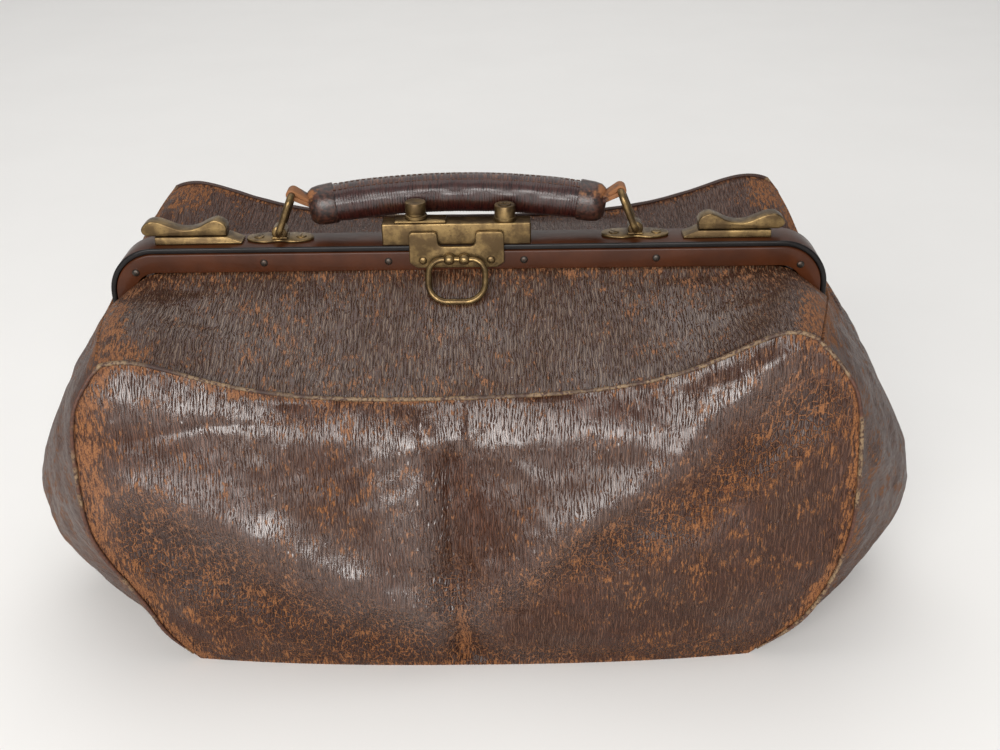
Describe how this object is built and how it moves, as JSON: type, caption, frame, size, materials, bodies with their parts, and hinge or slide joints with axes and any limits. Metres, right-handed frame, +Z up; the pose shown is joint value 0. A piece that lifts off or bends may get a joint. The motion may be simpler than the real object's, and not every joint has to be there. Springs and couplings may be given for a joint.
{
  "type": "gladstone bag",
  "caption": "Leather gladstone bag with a hinged two-jaw frame, a lock, sliding catches, a drop ring and a rolled handle",
  "frame": {"origin": "under the middle of the base, on the surface that the bag stands on", "axes": "+X along the frame to the right, +Y to the back, +Z up; the lock's hasp and the drop ring face -Y"},
  "size_m": [0.5346, 0.2177, 0.2577],
  "materials": {
    "bag_leather": "dark brown straight-grain leather, worn to tan on its edges",
    "handle_leather": "polished dark maroon leather",
    "frame_paint": "maroon-brown enamel with a black rim",
    "brass": "aged, dulled brass",
    "steel": "darkened steel",
    "lining": "plain drill lining",
    "board": "stiff board"
  },
  "bodies": {
    "bag": {"rear_jaw": "frame_paint", "hinge_pin_left": "steel", "hinge_pin_right": "steel", "rear_clamp_strip": "steel", "rear_frame_rivets": "steel", "front_upper_panel": "bag_leather", "front_lower_panel": "bag_leather", "back_upper_panel": "bag_leather", "back_lower_panel": "bag_leather", "gusset_left_front": "bag_leather", "gusset_left_back": "bag_leather", "gusset_right_front": "bag_leather", "gusset_right_back": "bag_leather", "bottom_panel": "bag_leather", "base_board": "board", "lining_front": "lining", "lining_back": "lining", "piping_front": "bag_leather", "piping_back": "bag_leather", "lock_case": "brass", "lock_rivets": "brass", "bolt_spring": "steel", "slide_base": "brass", "key_collar": "brass", "catch_base_left": "brass", "catch_base_right": "brass", "catch_rivets": "steel", "handle_plate_left": "brass", "handle_plate_right": "brass", "handle_screws": "brass"},
    "opening_jaw": {"front_jaw": "frame_paint", "front_clamp_strip": "steel", "front_frame_rivets": "steel", "hasp_plate": "brass", "hasp_rivets": "brass"},
    "pull_ring": {"drop_ring": "brass"},
    "bolt": {"lock_bolt": "steel", "slide_button": "brass"},
    "plug": {"key_plug": "brass"},
    "left_catch": {"catch_slide_left": "brass"},
    "right_catch": {"catch_slide_right": "brass"},
    "left_ring": {"handle_ring_left": "brass"},
    "right_ring": {"handle_ring_right": "brass"},
    "handle": {"handle_core": "board", "handle_cover": "handle_leather", "handle_loop_left": "handle_leather", "handle_loop_right": "handle_leather"}
  },
  "joints": [
    {"name": "jaw_hinge", "type": "hinge", "parent": "bag", "child": "opening_jaw", "pos_m": [0, 0, 0.178], "axis": [1, 0, 0], "range_deg": [0, 80], "deforming": ["front_upper_panel", "gusset_left_front", "gusset_right_front"]},
    {"name": "ring_lift", "type": "hinge", "parent": "opening_jaw", "child": "pull_ring", "pos_m": [-0.0055, -0.0136, 0.2175], "axis": [-1, 0, 0], "range_deg": [0, 110]},
    {"name": "button_slide", "type": "slide", "parent": "bag", "child": "bolt", "axis": [1, 0, 0], "range_m": [0, 0.006]},
    {"name": "key_turn", "type": "hinge", "parent": "bag", "child": "plug", "pos_m": [0.0215, -0.002, 0.235], "axis": [0, 0, -1], "range_deg": [0, 90]},
    {"name": "left_catch_slide", "type": "slide", "parent": "bag", "child": "left_catch", "axis": [1, 0, 0], "range_m": [0, 0.008]},
    {"name": "right_catch_slide", "type": "slide", "parent": "bag", "child": "right_catch", "axis": [-1, 0, 0], "range_m": [0, 0.008]},
    {"name": "handle_sway", "type": "hinge", "parent": "bag", "child": "left_ring", "pos_m": [-0.106, 0.006, 0.2284], "axis": [0, 1, 0], "range_deg": [-15, 15]},
    {"name": "right_ring_sway", "type": "hinge", "parent": "bag", "child": "right_ring", "pos_m": [0.095, 0.006, 0.2284], "axis": [0, 1, 0], "range_deg": [-15, 15]},
    {"name": "handle_pivot", "type": "hinge", "parent": "left_ring", "child": "handle", "pos_m": [-0.09701, 0.006, 0.25065], "axis": [0, 1, 0], "range_deg": [-17, 17]}
  ],
  "couplings": [
    {"joint": "right_ring_sway", "follows": "handle_sway", "ratio": 1},
    {"joint": "handle_pivot", "follows": "handle_sway", "ratio": -1.0982}
  ]
}
